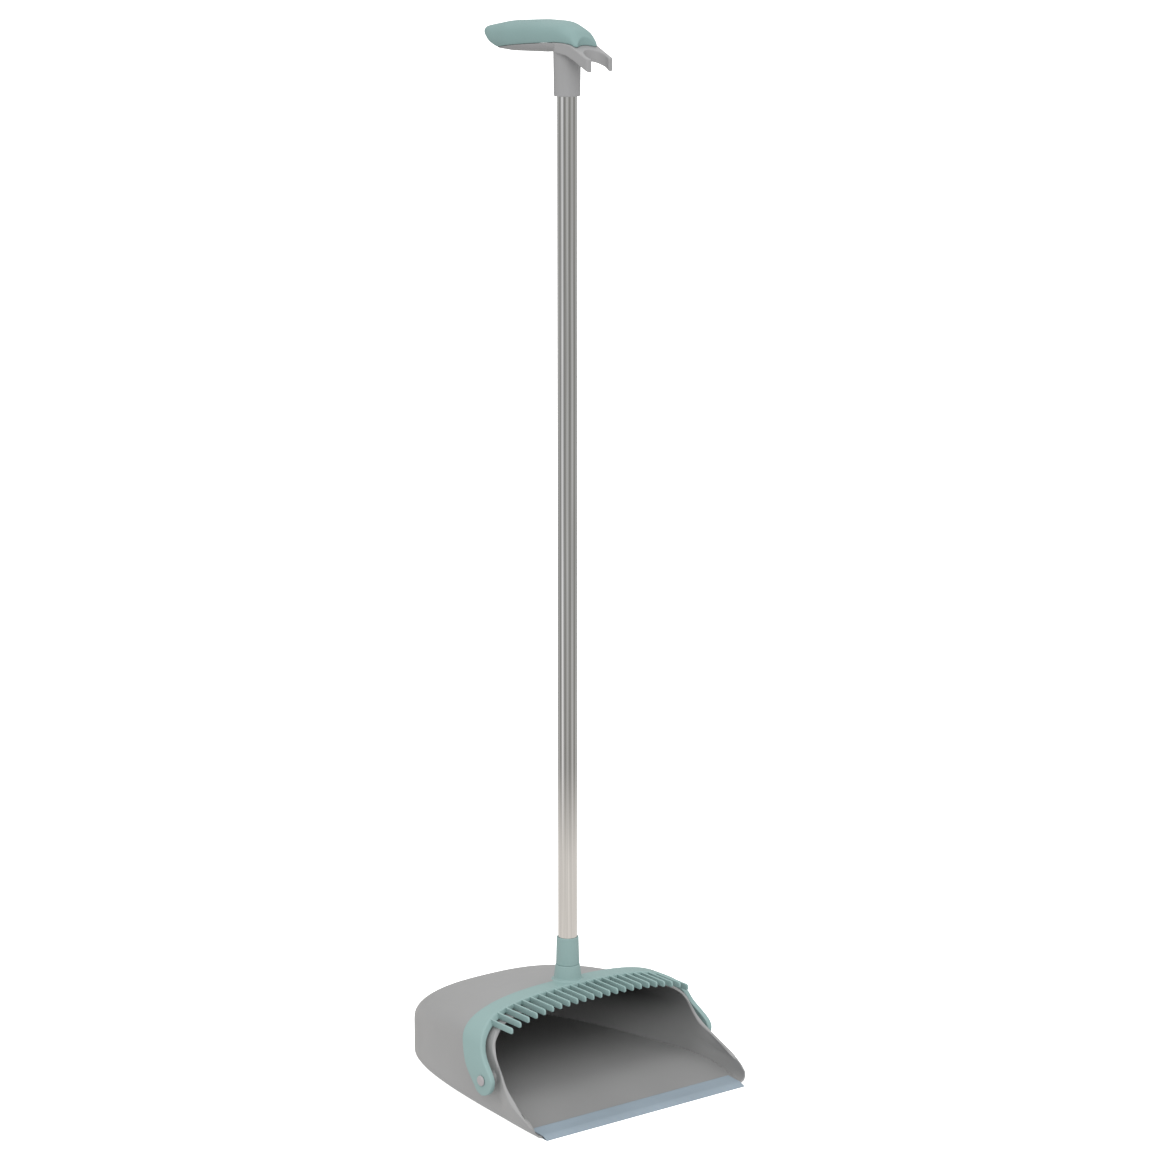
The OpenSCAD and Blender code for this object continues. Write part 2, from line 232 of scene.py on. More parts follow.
def inner_y(u):
    return WING_Y + u * (PAN_D - WALL) / PAN_D


def outer_column(j, u):
    """Point of outer column j at u: bottom columns first, then the upper ones."""
    line = section(u, 0.0)
    if j < len(FLOOR_COLS) + 1:
        edge_x = half_width(u) - edge_at(u) - 2.0
        y = WING_Y + u
        if j == len(FLOOR_COLS):
            return (edge_x + 0.6, y, line[0][1])
        inside = RECESS_START <= u <= RECESS_END
        z = lookup(ramp_line, y) - WALL if inside else line[0][1]
        return (edge_x * FLOOR_COLS[j], y, z)
    x, z = resample(line, [FRACTIONS[j - len(FLOOR_COLS) - 1]])[0]
    return (x, WING_Y + u, z)


def inner_column(j, u):
    line = section(u, WALL)
    y = inner_y(u)
    floor = lookup(ramp_line, y)
    kept = [p for p in line if p[1] > floor + 1e-6]
    below = [p for p in line if p[1] <= floor + 1e-6]
    if below:
        a, b = below[-1], kept[0]
        t = (floor - a[1]) / (b[1] - a[1])
        kept.insert(0, (a[0] + (b[0] - a[0]) * t, floor))
    crease = kept[0][0]
    if j < len(FLOOR_COLS) + 1:
        x = crease - 1.2 if j == len(FLOOR_COLS) else (crease - 4.0) * FLOOR_COLS[j]
        return (x, y, floor)
    x, z = resample(kept, [FRACTIONS[j - len(FLOOR_COLS) - 1]])[0]
    return (x, y, z)


def rim_start(column, j):
    """u where column j meets the mouth's edge."""
    lo, hi = 0.0, 120.0
    if column(j, 0.0)[2] <= TIP_H:
        return 0.0
    for _ in range(40):
        mid = (lo + hi) / 2
        p = column(j, mid)
        if lookup(rim_by_height, p[2]) > p[1]:
            lo = mid
        else:
            hi = mid
    return (lo + hi) / 2


def pan_rows():
    spread = [math.sin(math.radians(90 * k / 44)) for k in range(1, 45)]
    recess = [u / U_END for u in (RECESS_START - 0.05, RECESS_START, RECESS_END, RECESS_END + 0.05)]
    near = [0.004, 0.012]
    return sorted(near + recess + spread)


def painted_shade_at(p):
    """How much painted shade darkens the inside of the pan: least on the floor, most high up under the hood."""
    floor = lookup(ramp_line, p.y)
    up = min(max((p.z - floor) / (0.62 * hood_at(max(p.y - WING_Y, 0.0)) - floor + 1.0), 0.0), 1.0)
    deep = min(max((p.y - WING_Y) / (0.45 * PAN_D), 0.0), 1.0)
    ground = 0.24 - 0.24 * deep
    return ground + (0.30 + 0.66 * deep - ground) * up ** 1.5


def pan_shell():
    bm = bmesh.new()
    rows = [0.0] + pan_rows()
    count = len(FLOOR_COLS) + 1 + UPPER + 1
    starts = [(rim_start(outer_column, j), rim_start(inner_column, j)) for j in range(count)]
    edges = [(Vector(outer_column(j, a)), Vector(inner_column(j, b))) for j, (a, b) in enumerate(starts)]
    middles = [(a + b) / 2 for a, b in edges]
    columns = []
    for j, (u_out, u_in) in enumerate(starts):
        # ahead points away from the wall, square to the rim
        along = middles[min(j + 1, count - 1)] - middles[max(j - 1, 0)]
        ahead = along.cross(edges[j][0] - edges[j][1]).normalized()
        if ahead.y > 0:
            ahead.negate()
        back = BEAD / max(-ahead.y, 0.4)
        outer = [outer_column(j, u_out + back + (U_END - u_out - back) * g) for g in rows]
        inner = [inner_column(j, u_in + back + (U_END - u_in - back) * g) for g in rows]
        a, b = Vector(outer[0]), Vector(inner[0])
        centre, across = (a + b) / 2, (a - b) / 2
        ring = []
        for k in range(1, 8):
            t = math.radians(180 * k / 8)
            ring.append(tuple(centre + across * math.cos(t) + ahead * BEAD * math.sin(t)))
        columns.append(list(reversed(outer)) + ring + inner)
    left = [[(-x, y, z) for x, y, z in col] for col in reversed(columns)]
    columns = left[:-1] + columns[1:] if abs(columns[0][0][0]) > 1e-6 else left[:-1] + columns
    # both halves also meet along the crown, so the last column joins the first
    columns = columns[:-1]
    # a vertex layer of painted shade for the pan's inner surface
    shade = bm.verts.layers.float.new("painted_shade")
    verts = add_grid(bm, columns, close_rows=True)
    for column in verts:
        for vert in column[len(rows) + 7:]:
            vert[shade] = painted_shade_at(vert.co / MM)
    bm.faces.new([c[0] for c in verts])
    bm.faces.new([c[-1] for c in verts])
    for side in (-1, 1):
        def turn(p, side=side):
            return (side * p[2], -36 + p[0], 35 + p[1])
        base = half_width(-36 - WING_Y) - 1.2
        lathe(bm, rounded([(6.6, base), (6.4, base + 1.4), (4.6, base + 2.6), (4.6, BOSS_OUT), (3.05, BOSS_OUT),
                           (3.05, BOSS_OUT - 2)], [0, 0.6, 1.2, 0.5, 0.2, 0]), turn, 48)
    return finish_bmesh("pan_shell", bm, merge=0.002)


# ---------------------------------------------------------------- the lip
LIP_W, LIP_REACH, LIP_BACK = 210.0, 5.8, 15.5


def lip():
    """One soft strip: a blunt front edge, a step down over the floor's edge and a thin feathered tail."""
    bm = bmesh.new()
    front = WING_Y - LIP_REACH
    back = WING_Y + LIP_BACK

    def top(y):
        if y < WING_Y:
            return 1.0 + (y - front) / LIP_REACH * (WALL + 0.9 - 1.0)
        return lookup(ramp_line, y) + 0.92 - 0.3 * (y - WING_Y) / LIP_BACK

    outline = rounded([(WING_Y + 0.2, 0.0), (front, 0.0), (front, 1.0), (WING_Y, top(WING_Y))],
                      [0, 0.35, 0.6, 0], 4)
    outline += [(y, top(y)) for y in (WING_Y + d for d in (2, 4, 6, 8, 10, 12, 14))]
    outline += [(back - 0.5, top(back - 0.5) - 0.12), (back - 0.1, top(back) - 0.4),
                (back, lookup(ramp_line, back) + 0.02)]
    outline += [(y, lookup(ramp_line, y) + 0.02) for y in (WING_Y + d for d in (12, 8, 4, 0.2))]

    def reach(y, z):
        if y <= WING_Y + 0.2:
            return LIP_W / 2
        line = section(y - WING_Y, WALL)
        return min(LIP_W / 2, lookup([(p[1], p[0]) for p in line[:13]], max(z, WALL + 0.01)) - 0.05)

    ends = [0.985, 0.995, 0.9985, 1.0]
    stations = [-e for e in reversed(ends)] + [i / 20 for i in range(-19, 20)] + ends
    rows = []
    for s in stations:
        ease = 1 - max(0.0, (abs(s) - 0.995) / 0.005) ** 2
        row = []
        for y, z in outline:
            low = lookup(ramp_line, y) if y > WING_Y else 0.0
            middle = low + 0.45
            zz = middle + (z - middle) * (0.35 + 0.65 * ease)
            row.append((s * reach(y, z), y, max(zz, 0.0)))
        rows.append(row)
    cap_ends(bm, add_grid(bm, rows, close_cols=True))
    return finish_bmesh("lip", bm, sharp=50)


# ---------------------------------------------------------------- the bail
BAIL_W, BAIL_H, BAIL_T = 236.0, 89.3, 5.0
BAIL_P, BAIL_SPRING, SHOULDER_W, LEG_TOP = 2.75, 48.0, 226.4, 36.0
EYE_R, HINGE_Y, HINGE_Z = 12.6, -36.0, 35.0
BAND_FRONT, BAND_REAR = -15.0, 3.5
BAIL_SOFT = 1.9             # how far the bail's rounded edges reach from each corner
SOCKET_R, SOCKET_TOP, FILLET = 11.75, 102.3, 1.9

front_edge = bezier((HINGE_Y - EYE_R, HINGE_Z), (HINGE_Y - EYE_R, 43), (-33, 49), (-28.5, 58))
front_edge += bezier((-28.5, 58), (-25, 65), (-22, 72), (BAND_FRONT, 79))[1:]
rear_edge = bezier((-27.5, 25.6), (-21.5, 33.5), (-14, 41), (-9, 48))
rear_edge += bezier((-9, 48), (0, 60), (BAND_REAR, 70), (BAND_REAR, 82))[1:]
front_by_z = [(z, y) for y, z in front_edge]
rear_by_z = [(z, y) for y, z in rear_edge]


def bail_front(z):
    if z < HINGE_Z:
        return HINGE_Y - math.sqrt(max(EYE_R ** 2 - (z - HINGE_Z) ** 2, 0.0))
    return lookup(front_by_z, z)


def bail_rear(z):
    if z < 25.6:
        return HINGE_Y + math.sqrt(max(EYE_R ** 2 - (z - HINGE_Z) ** 2, 0.0))
    return lookup(rear_by_z, z)


def bail_line(half_w, foot_w, height):
    """One side of the bail seen from the front, above the upright leg: a smooth lean and then the arch."""
    arch = []
    for k in range(20, 181):
        t = math.radians(k / 2)
        c, s = max(math.cos(t), 0.0), max(math.sin(t), 0.0)
        arch.append((half_w * c ** (2 / BAIL_P), BAIL_SPRING + (height - BAIL_SPRING) * s ** (2 / BAIL_P)))
    join = arch[0]
    along = (Vector(arch[1]) - Vector(join)).normalized()
    lean = bezier((foot_w, LEG_TOP), (foot_w, LEG_TOP + 9), tuple(Vector(join) - 8 * along), join)
    return lean, arch


def bail_stations():
    """(outer, inner) points of the bail seen from the front, from the right eye to the crown."""
    out = []
    foot = BAIL_W / 2
    bottom = HINGE_Z - EYE_R
    for i in range(19):
        z = bottom + 0.02 + (LEG_TOP - bottom) * (1 - math.cos(math.radians(90 * i / 19))) * 0.999
        out.append(((foot, z), (foot - BAIL_T, z)))
    outer_lean, outer_arch = bail_line(SHOULDER_W / 2, foot, BAIL_H)
    inner_lean, inner_arch = bail_line(SHOULDER_W / 2 - BAIL_T, foot - BAIL_T, BAIL_H - BAIL_T)
    out += list(zip(outer_lean, inner_lean))
    fractions = [k / 60 for k in range(1, 61)]
    return out + list(zip(resample(outer_arch, fractions), resample(inner_arch, fractions)))


def bail_ring(outer, inner):
    """A rounded rectangle between the bail's outer and inner faces."""
    (xo, zo), (xi, zi) = outer, inner
    corners = [(xo, bail_front(zo), zo), (xo, bail_rear(zo), zo),
               (xi, bail_rear(zi), zi), (xi, bail_front(zi), zi)]
    ring = []
    for k in range(4):
        p, a, b = Vector(corners[k]), Vector(corners[k - 1]), Vector(corners[(k + 1) % 4])
        la, lb = (a - p).length, (b - p).length
        r_a, r_b = min(BAIL_SOFT, la * 0.48), min(BAIL_SOFT, lb * 0.48)
        start, end = p + (a - p).normalized() * r_a, p + (b - p).normalized() * r_b
        for i in range(6):
            t = i / 5
            ring.append(tuple(start * (1 - t) ** 2 + p * 2 * t * (1 - t) + end * t * t))
    return ring


def bail_frame():
    bm = bmesh.new()
    half = [bail_ring(o, i) for o, i in bail_stations()]
    other = [[(-x, y, z) for x, y, z in ring] for ring in half]
    rows = other + list(reversed(half))[1:]
    cap_ends(bm, add_grid(bm, rows, close_cols=True))
    foot = BAIL_H - BAIL_T + 0.5
    lathe(bm, rounded([(7, foot + 1.5), (7, foot), (11.9, foot), (SOCKET_R, BAIL_H + 0.1), (10.15, 101.9),
                       (9.5, SOCKET_TOP), (7.0, SOCKET_TOP), (7.0, 100.5)],
                      [0, 0, 0.9, 0, 0.5, 0.3, 0.2, 0]), segments=96)
    # small fillet where the socket rises from the band
    curve = [(SOCKET_R + FILLET * (1 - math.sin(math.radians(a))),
              BAIL_H - 0.05 + FILLET * (1 - math.cos(math.radians(a)))) for a in range(0, 91, 15)]
    lathe(bm, [(11.0, BAIL_H - 0.6)] + curve + [(11.0, BAIL_H + 2.4)], segments=96)
    return finish_bmesh("bail_frame", bm, sharp=45, merge=0.002)


# ---------------------------------------------------------------- the comb
SIDE_TEETH, PITCH, TOOTH_T, TOOTH_H, TOOTH_REACH = 11, 8.46, 1.8, 5.2, 45.4
TOOTH_BACK = -13.0          # the teeth end here, inside the band
TOOTH_TILT, TILT_FROM, TOOTH_DROP = math.tan(math.radians(1.5)), -14.0, 0.4
# a tooth's slices across its thickness, and how far each is drawn in
TOOTH_SLICES = [(-1.0, 0.62), (-0.93, 0.28), (-0.72, 0.06), (-0.45, 0.0),
                (0.45, 0.0), (0.72, 0.06), (0.93, 0.28), (1.0, 0.62)]


def tooth_base(x):
    """Height of the underside of the tooth at x, which follows the bail's inner arch."""
    arch = (1 - (abs(x) / (SHOULDER_W / 2 - BAIL_T)) ** BAIL_P) ** (1 / BAIL_P)
    return BAIL_SPRING - TOOTH_DROP + (BAIL_H - BAIL_T - BAIL_SPRING) * arch


def comb():
    bm = bmesh.new()
    for k in range(-SIDE_TEETH, SIDE_TEETH + 1):
        x0, z0 = k * PITCH, tooth_base(k * PITCH)
        side = [(TOOTH_BACK, z0), (-TOOTH_REACH, z0), (-TOOTH_REACH, z0 + TOOTH_H), (TOOTH_BACK, z0 + TOOTH_H)]
        outline = rounded(side, [0, 2.2, 2.2, 0], 7)
        spine_z = z0 + TOOTH_H / 2
        rows = []
        for x, pull in TOOTH_SLICES:
            row = []
            for y, z in outline:
                spine_y = min(max(y, -TOOTH_REACH + 2.4), TOOTH_BACK - 0.3)
                d = math.hypot(y - spine_y, z - spine_z) or 1.0
                yy, zz = y - (y - spine_y) / d * pull, z - (z - spine_z) / d * pull
                row.append((x0 + x * TOOTH_T / 2, yy, zz + (yy - TILT_FROM) * TOOTH_TILT))
            rows.append(row)
        cap_ends(bm, add_grid(bm, rows, close_cols=True))
    return finish_bmesh("comb", bm, sharp=60)


# ---------------------------------------------------------------- pins and sleeve
HEAD_R, HEAD_IN = 4.4, 118.9


def pins():
    bm = bmesh.new()
    for side in (-1, 1):
        def turn(p, side=side):
            return (side * p[2], HINGE_Y + p[0], HINGE_Z + p[1])
        dome = [(HEAD_R * math.cos(math.radians(a)) ** 0.6, HEAD_IN + 1.15 * math.sin(math.radians(a)))
                for a in range(0, 86, 10)]
        lathe(bm, [(3.0, 105.0), (3.0, 118.15), (4.0, 118.2), (4.3, 118.4)] + dome, turn, 48)
    return finish_bmesh("pins", bm, sharp=50)


def sleeve():
    bm = bmesh.new()
    lathe(bm, rounded([(6.0, 92.0), (6.0, 102.35), (9.4, 102.35), (9.8, 102.8), (9.2, 125.3), (8.95, 125.9),
                       (8.04, 125.9), (8.04, 124.0)], [0, 0, 0.15, 0.35, 0.3, 0.3, 0.15, 0]), segments=96)
    return finish_bmesh("sleeve", bm, sharp=45)


# ---------------------------------------------------------------- the handle
GRIP_Z = 855.2
GRIP_NOSE, GRIP_TAIL = -25.8, 103.0
GRIP_P = 2.25               # squareness of the grip's cross-section
VOXEL = 0.5
# discs that the grip is stretched over: distance off the middle, y, z from GRIP_Z, radius
STATIONS = [(1.5, 97.8, 13.0, 5.2), (1.5, 90, 10.9, 8.2), (1.5, 82, 9.8, 9.8), (1.5, 66, 11.3, 12.2),
            (1, 24, 12.9, 13.2), (2.6, 0, 15.3, 10.6), (5, -13, 12.8, 8.0), (7.5, -21.2, 7.2, 4.6)]
PLATE_SLOPE = 0.46
seam_line = [(-60, 7.8 - 40 * PLATE_SLOPE), (-20, 7.8), (-12, 8.8)]
seam_line += list(reversed(bezier((110, -3), (80, 2.5), (50, 6), (0, 9))))
CLIP_Y, NOSE_R = -36.6, 14.7


def hull_chains(discs):
    """Upper and lower outlines of the convex hull of discs (y, z, radius)."""
    points = sorted((y + r * math.cos(math.radians(a)), z + r * math.sin(math.radians(a)))
                    for y, z, r in discs for a in range(0, 360, 3))

    def chain(sign):
        out = []
        for p in points:
            while len(out) > 1 and sign * ((out[-1][0] - out[-2][0]) * (p[1] - out[-2][1])
                                           - (out[-1][1] - out[-2][1]) * (p[0] - out[-2][0])) >= 0:
                out.pop()
            out.append(p)
        return out
    return chain(1), chain(-1)


def softened(table, y, spread, lo, hi):
    """The table's value averaged over a few millimetres, less near the ends."""
    spread = min(spread, (y - lo) * 0.3, (hi - y) * 0.3)
    return sum(lookup(table, y + spread * k / 4) * (5 - abs(k)) for k in range(-4, 5)) / 25


def grip_rings(count=110, around=72):
    side_top, side_low = hull_chains([(y, z, r) for s, y, z, r in STATIONS])
    plan, _ = hull_chains([(y, s, r) for s, y, z, r in STATIONS] + [(y, -s, r) for s, y, z, r in STATIONS])
    lo, hi = GRIP_NOSE, GRIP_TAIL
    power = 2 / GRIP_P
    rings = []
    for i in range(count + 1):
        y = (lo + hi) / 2 - (hi - lo) / 2 * math.cos(math.pi * (0.004 + 0.992 * i / count))
        top = softened(side_top, y, 9, lo, hi)
        low = softened(side_low, y, 9, lo, hi)
        wide = softened(plan, y, 7, lo, hi)
        ring = []
        for k in range(around):
            t = 2 * math.pi * k / around
            c, s = math.cos(t), math.sin(t)
            ring.append((math.copysign(abs(c) ** power, c) * wide, y,
                         GRIP_Z + (top + low) / 2 + math.copysign(abs(s) ** power, s) * (top - low) / 2))
        rings.append(ring)
    return rings


def apply_modifiers(obj):
    dg = bpy.context.evaluated_depsgraph_get()
    mesh = bpy.data.meshes.new_from_object(obj.evaluated_get(dg))
    obj.modifiers.clear()
    old = obj.data
    obj.data = mesh
    bpy.data.meshes.remove(old)


def cut(obj, cutter):
    m = obj.modifiers.new("cut", "BOOLEAN")
    m.operation, m.solver, m.object = "DIFFERENCE", "EXACT", cutter
    apply_modifiers(obj)
    bpy.data.objects.remove(cutter)


def soften(obj, repeats):
    """Rounds every edge: a fine voxel remesh and then a few smoothing passes."""
    m = obj.modifiers.new("remesh", "REMESH")
    m.mode, m.voxel_size, m.use_smooth_shade = "VOXEL", VOXEL * MM, True
    s = obj.modifiers.new("smooth", "SMOOTH")
    s.iterations, s.factor = repeats, 0.5
    apply_modifiers(obj)
    for p in obj.data.polygons:
        p.use_smooth = True
    return obj


def tall_cylinder(name, y, r, z0, z1):
    bm = bmesh.new()
    lathe(bm, [(r, z0), (r, z1)], lambda p: (p[0], y + p[1], p[2]), 128)
    return finish_bmesh(name, bm)


def grip():
    """The upper moulding of the grip, closed along the seam."""
    bm = bmesh.new()
    rows = []
    for ring in grip_rings():
        seam = GRIP_Z + lookup(seam_line, ring[0][1]) + 0.12
        if max(p[2] for p in ring) <= seam + 0.3:
            continue
        rows.append([(x, y, max(z, seam)) for x, y, z in ring])
    cap_ends(bm, add_grid(bm, rows, close_cols=True))
    obj = finish_bmesh("grip", bm)
    cut(obj, tall_cylinder("nose_cut", CLIP_Y, NOSE_R, GRIP_Z - 20, GRIP_Z + 40))
    return soften(obj, 7)


def handle():
    """Neck, clip and lower half of the grip: the CAD solid with its edges rounded."""
    return soften(add_object("handle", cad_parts["handle_shell"].data.copy()), 8)


# ---------------------------------------------------------------- materials
class Nodes:
    """A short way to write a node material."""

    def __init__(self, name):
        self.mat = bpy.data.materials.new(name)
        self.mat.use_nodes = True
        self.tree = self.mat.node_tree
        self.tree.nodes.clear()
        self.out = self.add("ShaderNodeOutputMaterial")
        self.bsdf = self.add("ShaderNodeBsdfPrincipled")
        self.link(self.bsdf, "BSDF", self.out, "Surface")
        self.coords = self.add("ShaderNodeTexCoord")

    def add(self, kind, **values):
        node = self.tree.nodes.new(kind)
        for key, value in values.items():
            setattr(node, key, value)
        return node

    def link(self, a, out, b, into):
        self.tree.links.new(a.outputs[out], b.inputs[into])

    def noise(self, scale, detail=3.0, rough=0.5, stretch=None):
        n = self.add("ShaderNodeTexNoise")
        n.inputs["Scale"].default_value = scale
        n.inputs["Detail"].default_value = detail
        n.inputs["Roughness"].default_value = rough
        if stretch:
            m = self.add("ShaderNodeMapping")
            m.inputs["Scale"].default_value = stretch
            self.link(self.coords, "Object", m, "Vector")
            self.link(m, "Vector", n, "Vector")
        else:
            self.link(self.coords, "Object", n, "Vector")
        return n

    def ramp(self, source, out, stops):
        r = self.add("ShaderNodeValToRGB")
        e = r.color_ramp.elements
        while len(e) < len(stops):
            e.new(0.5)
        for i, (pos, col) in enumerate(stops):
            e[i].position = pos
            e[i].color = (*col, 1)
        self.link(source, out, r, "Fac")
        return r

    def spread(self, source, out, low, high, from_low=0.3, from_high=0.7):
        m = self.add("ShaderNodeMapRange")
        for key, value in (("From Min", from_low), ("From Max", from_high),
                           ("To Min", low), ("To Max", high)):
            m.inputs[key].default_value = value
        self.link(source, out, m, "Value")
        return m

    def blend(self, fac, fac_out, a, b):
        """Colour from node a towards the constant b, as far as fac says. Its result is output 2."""
        mix = self.add("ShaderNodeMix", data_type="RGBA")
        self.link(fac, fac_out, mix, 0)
        self.tree.links.new(a, mix.inputs[6])
        mix.inputs[7].default_value = (*b, 1)
        return mix.outputs[2]

    def bump(self, source, out, distance, strength, after=None):
        b = self.add("ShaderNodeBump")
        b.inputs["Distance"].default_value = distance
        b.inputs["Strength"].default_value = strength
        self.link(source, out, b, "Height")
        if after:
            self.link(after, "Normal", b, "Normal")
        return b


# the near-black that the painted shade inside the pan darkens towards
PAINTED_SHADE_DARK = (0.012, 0.012, 0.012)


def moulded(name, colour, vary=0.05, rough=(0.40, 0.52), painted_shade=False):
    """Satin moulded plastic: fine grain, faint clouding and convex edges lightened as a painted highlight. With
    the shade flag set, painted shade darkens the pan's inside, most high up under the hood.
    """
    m = Nodes(name)
    cloud = m.noise(9.0, 4.0, 0.55)
    dark = tuple(c * (1 - vary) for c in colour)
    light = tuple(min(c * (1 + vary), 1) for c in colour)
    base = m.ramp(cloud, "Fac", [(0.32, dark), (0.68, light)])
    # painted highlight: sharp convex edges, found by pointiness, are blended towards a lighter colour
    geo = m.add("ShaderNodeNewGeometry")
    edge = m.ramp(geo, "Pointiness", [(0.0, (0, 0, 0)), (0.53, (0, 0, 0)), (0.60, (1, 1, 1))])
    scale = m.add("ShaderNodeMath", operation="MULTIPLY")
    scale.inputs[1].default_value = 0.25
    m.link(edge, "Color", scale, 0)
    shade = m.blend(scale, 0, base.outputs["Color"], [min(c * 1.35 + 0.03, 1) for c in colour])
    # painted shade: the pan's inside is blended towards a near-black, most under the hood
    if painted_shade:
        inside = m.add("ShaderNodeAttribute", attribute_name="painted_shade")
        shade = m.blend(inside, "Fac", shade, PAINTED_SHADE_DARK)
    m.tree.links.new(shade, m.bsdf.inputs["Base Color"])
    patch = m.noise(35.0, 3.0)
    m.link(m.spread(patch, "Fac", *rough), 0, m.bsdf, "Roughness")
    fine = m.noise(2600.0, 2.0, 0.6)
    wave = m.bump(m.noise(22.0, 2.0), "Fac", 0.00012, 0.35)
    m.link(m.bump(fine, "Fac", 0.00003, 0.6, wave), "Normal", m.bsdf, "Normal")
    m.bsdf.inputs["Specular IOR Level"].default_value = 0.4
    return m.mat


def soft_lip(name, colour, under):
    """Soft, slightly waxy vinyl with drawn lines along it. Its thin tail takes the pan's colour, under."""
    m = Nodes(name)
    cloud = m.noise(14.0, 3.0)
    dark, light = (tuple(c * k for c in colour) for k in (0.93, 1.06))
    base = m.ramp(cloud, "Fac", [(0.3, dark), (0.7, light)])
    back = m.add("ShaderNodeSeparateXYZ")
    m.link(m.coords, "Object", back, "Vector")
    tail = (WING_Y + LIP_BACK) * MM
    thin = m.spread(back, "Y", 0.0, 0.75, tail - 6.5 * MM, tail)
    m.tree.links.new(m.blend(thin, 0, base.outputs["Color"], under), m.bsdf.inputs["Base Color"])
    lines = m.noise(60.0, 2.0, 0.5, (0.4, 40.0, 40.0))
    m.link(m.spread(lines, "Fac", 0.42, 0.6), 0, m.bsdf, "Roughness")
    m.link(m.bump(lines, "Fac", 0.00004, 0.5), "Normal", m.bsdf, "Normal")
    m.bsdf.inputs["Specular IOR Level"].default_value = 0.35
    m.bsdf.inputs["Subsurface Weight"].default_value = 0.06
    m.bsdf.inputs["Subsurface Radius"].default_value = (0.004, 0.004, 0.005)
    return m.mat


def chromed(name):
    """Drawn steel tube, chromed: faint lengthwise draw lines, smudges that dull it and a warmer foot, which is
    a painted tint standing for the warm reflection low on the tube.
    """
    m = Nodes(name)
    draw = m.noise(30.0, 3.0, 0.6, (30.0, 30.0, 0.25))
    smudge = m.noise(18.0, 4.0, 0.6)
    rise = m.add("ShaderNodeSeparateXYZ")
    m.link(m.coords, "Object", rise, "Vector")
    # painted reflection: the tube's colour warms towards the foot, where it reflects the floor
    foot = m.spread(rise, "Z", 0.0, 1.0, 0.12, 0.42)
    painted_reflection_tint = m.ramp(foot, 0, [(0.0, (0.72, 0.70, 0.675)), (1.0, (0.70, 0.70, 0.695))])
    m.link(painted_reflection_tint, "Color", m.bsdf, "Base Color")
    m.link(m.spread(smudge, "Fac", 0.045, 0.10), 0, m.bsdf, "Roughness")
    m.link(m.bump(draw, "Fac", 0.00001, 0.25), "Normal", m.bsdf, "Normal")
    m.bsdf.inputs["Metallic"].default_value = 1.0
    return m.mat


def zinc(name):
    m = Nodes(name)
    n = m.noise(600.0, 3.0)
    base = m.ramp(n, "Fac", [(0.3, (0.5, 0.5, 0.52)), (0.7, (0.66, 0.65, 0.62))])
    m.link(base, "Color", m.bsdf, "Base Color")
    m.link(m.spread(n, "Fac", 0.25, 0.4), 0, m.bsdf, "Roughness")
    m.bsdf.inputs["Metallic"].default_value = 1.0
    return m.mat


def paint(obj, mat):
    obj.data.materials.clear()
    obj.data.materials.append(mat)


GREY = (0.338, 0.338, 0.338)
MINT = (0.275, 0.400, 0.390)
HANDLE_GREY = (0.328, 0.328, 0.331)
GRIP_MINT = (0.228, 0.346, 0.338)
PIN_GREY = (0.42, 0.395, 0.405)
LIP_BLUE, LIP_TAIL = (0.280, 0.345, 0.400), (0.26, 0.275, 0.285)
# the pan's plastic, with painted shade on its inside
pan_mat = moulded("pan_plastic", GREY, 0.03, painted_shade=True)
mint_mat = moulded("mint_plastic", MINT, 0.03)
grip_mat = moulded("grip_plastic", GRIP_MINT, 0.04, (0.45, 0.58))
shell_mat = moulded("handle_plastic", HANDLE_GREY, 0.03)
pin_mat = moulded("pin_plastic", PIN_GREY, 0.04, (0.3, 0.42))
lip_mat = soft_lip("lip_rubber", LIP_BLUE, LIP_TAIL)
chrome_mat = chromed("chromed_tube")
zinc_mat = zinc("screw_steel")


# ---------------------------------------------------------------- make and hang the pieces
def fit(obj, body, slot, mat, *nodes):
    paint(obj, mat)
    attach(obj, body)
    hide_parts(*nodes)


fit(pan_shell(), PAN, "pan_plastic", pan_mat, "pan_body")
fit(lip(), PAN, "lip_rubber", lip_mat, "lip_strip")
fit(pins(), PAN, "pin_plastic", pin_mat, "hinge_pins")
fit(bail_frame(), POLE, "mint_plastic", mint_mat, "bail")
fit(comb(), POLE, "mint_plastic", mint_mat, "comb_teeth")
fit(sleeve(), POLE, "mint_plastic", mint_mat, "pole_coupler")
fit(grip(), POLE, "grip_plastic", grip_mat, "grip_cover")
fit(handle(), POLE, "handle_plastic", shell_mat, "handle_shell")
for node, mat in (("pole_tube", chrome_mat), ("tube_plug", shell_mat), ("handle_screw", zinc_mat)):
    paint(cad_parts[node], mat)

# ---------------------------------------------------------------- floor, light and camera
FLOOR = 60.0                # half the floor's side, in metres


def paper_floor():
    bm = bmesh.new()
    corners = ((-1, -1), (1, -1), (1, 1), (-1, 1))
    bm.faces.new([bm.verts.new((x * FLOOR, y * FLOOR, 0.0)) for x, y in corners])
    floor = mesh_object("floor", bm)
    m = Nodes("floor_paper")
    tone = m.ramp(m.noise(6.0, 2.0), "Fac", [(0.3, (0.93, 0.93, 0.93)), (0.7, (0.95, 0.95, 0.95))])
    m.link(tone, "Color", m.bsdf, "Base Color")
    m.bsdf.inputs["Roughness"].default_value = 1.0
    m.bsdf.inputs["Specular IOR Level"].default_value = 0.0
    m.bsdf.inputs["Emission Color"].default_value = (1.0, 1.0, 1.0, 1.0)
    m.bsdf.inputs["Emission Strength"].default_value = 0.85
    paint(floor, m.mat)
    floor.visible_diffuse = floor.visible_glossy = False


